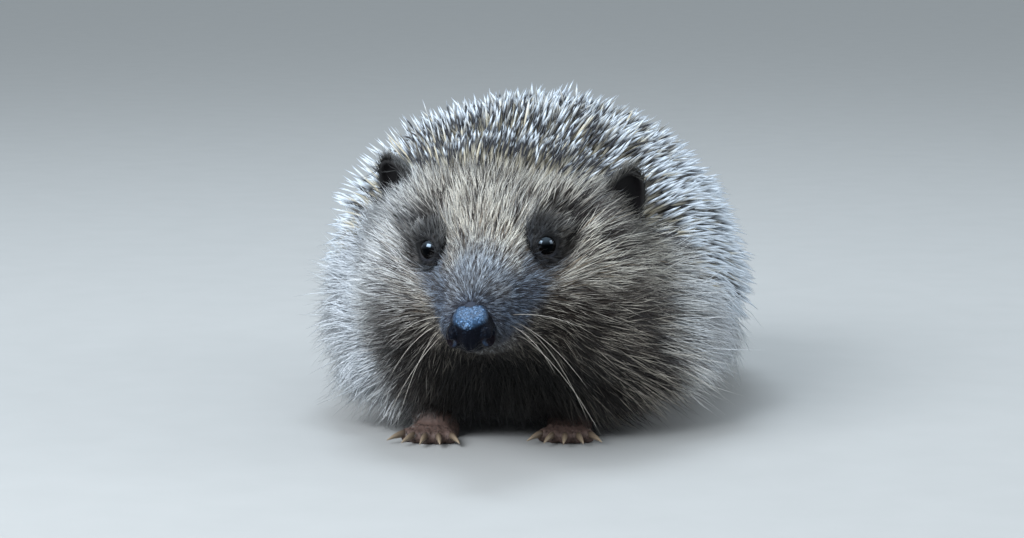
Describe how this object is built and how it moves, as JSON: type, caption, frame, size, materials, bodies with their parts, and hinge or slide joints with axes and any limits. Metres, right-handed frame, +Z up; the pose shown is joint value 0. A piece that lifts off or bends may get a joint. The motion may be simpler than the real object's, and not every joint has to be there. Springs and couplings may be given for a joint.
{
  "type": "hedgehog",
  "caption": "Life-size still hedgehog standing low on its paws: spiny domed back, furry face with pointed snout and wet black nose, small ears, clawed feet.",
  "frame": {"origin": "on the floor under the middle of the whole animal's box", "axes": "+Z up, -Y the way the nose points, +X the animal's left side"},
  "size_m": [0.1138, 0.1928, 0.0823],
  "materials": {
    "spines": "satin horn spines, cream at root and tip with a dark brown band between",
    "fur": "coarse hair, buff and grey on the forehead and flanks, charcoal round the eyes and along the snout",
    "nose_leather": "wet black pebbled leather",
    "eye": "clear wet gloss over black",
    "ear_skin": "thin dark skin with short down",
    "foot_skin": "wrinkled grey-brown skin with short hair",
    "claw": "translucent satin horn"
  },
  "bodies": {
    "root": {"trunk": "spines", "neck": "fur", "head": "fur", "tail": "fur", "nose": "nose_leather", "eye_left": "eye", "eye_right": "eye", "ear_left": "ear_skin", "ear_right": "ear_skin", "leg_fore_left": "fur", "paw_fore_left": "foot_skin", "claw_fore_left_1": "claw", "claw_fore_left_2": "claw", "claw_fore_left_3": "claw", "claw_fore_left_4": "claw", "claw_fore_left_5": "claw", "leg_fore_right": "fur", "paw_fore_right": "foot_skin", "claw_fore_right_1": "claw", "claw_fore_right_2": "claw", "claw_fore_right_3": "claw", "claw_fore_right_4": "claw", "claw_fore_right_5": "claw", "leg_hind_left": "fur", "paw_hind_left": "foot_skin", "claw_hind_left_1": "claw", "claw_hind_left_2": "claw", "claw_hind_left_3": "claw", "claw_hind_left_4": "claw", "claw_hind_left_5": "claw", "leg_hind_right": "fur", "paw_hind_right": "foot_skin", "claw_hind_right_1": "claw", "claw_hind_right_2": "claw", "claw_hind_right_3": "claw", "claw_hind_right_4": "claw", "claw_hind_right_5": "claw"}
  },
  "joints": []
}
